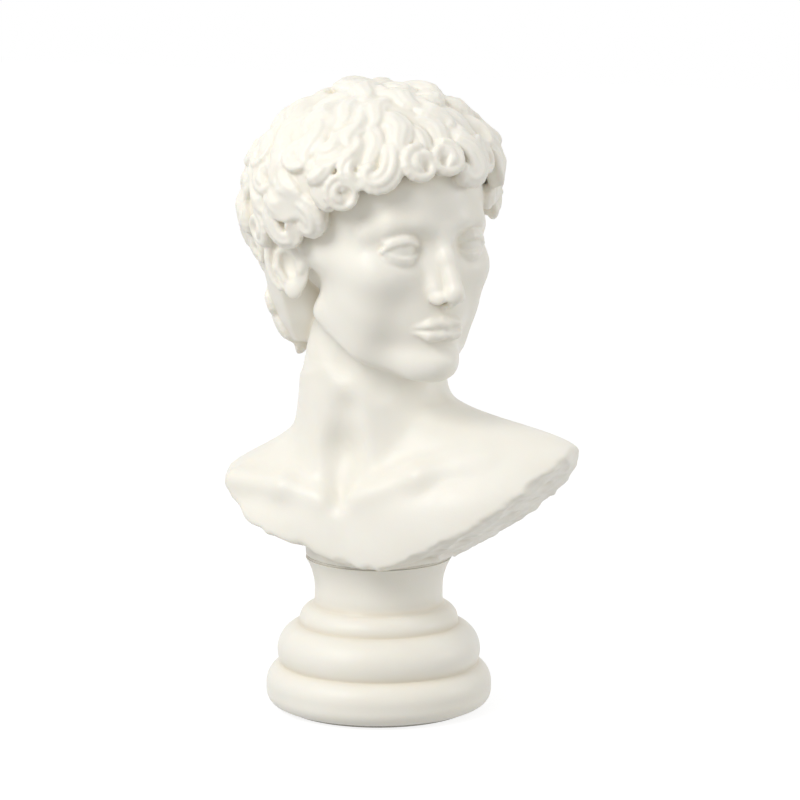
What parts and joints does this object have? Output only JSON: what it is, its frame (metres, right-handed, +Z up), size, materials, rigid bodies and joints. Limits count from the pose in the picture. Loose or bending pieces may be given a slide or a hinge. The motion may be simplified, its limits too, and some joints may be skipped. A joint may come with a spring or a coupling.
{
  "type": "marble bust",
  "caption": "Shelf bust of a curly-haired youth in white marble, its head turned aside, on a turned round socle held by a central rod, with a felt ring underneath.",
  "frame": {"origin": "on the socle's axis, in the plane that the felt ring stands on", "axes": "+Z up along the socle's axis and the fixing rod, the chest faces -Y, the subject's left shoulder is at +X, and the head looks 58 degrees from -Y towards +X"},
  "size_m": [0.175, 0.129, 0.3],
  "materials": {
    "carved_marble": "fine honed white marble, faint warm clouding, satin",
    "turned_marble": "turned and honed white marble, satin",
    "setting_mortar": "fine white setting mortar, matt",
    "anchor_resin": "cast polyester anchoring resin",
    "stainless_steel": "rolled stainless thread",
    "zinc_plated_steel": "bright zinc plate",
    "felt": "pressed wool felt"
  },
  "bodies": {
    "root": {"bust": "carved_marble", "socle": "turned_marble", "mortar_bed": "setting_mortar", "anchor_resin": "anchor_resin", "fixing_rod": "stainless_steel", "flat_washer": "zinc_plated_steel", "spring_washer": "zinc_plated_steel", "fixing_nut": "zinc_plated_steel", "felt_ring": "felt"}
  },
  "joints": []
}
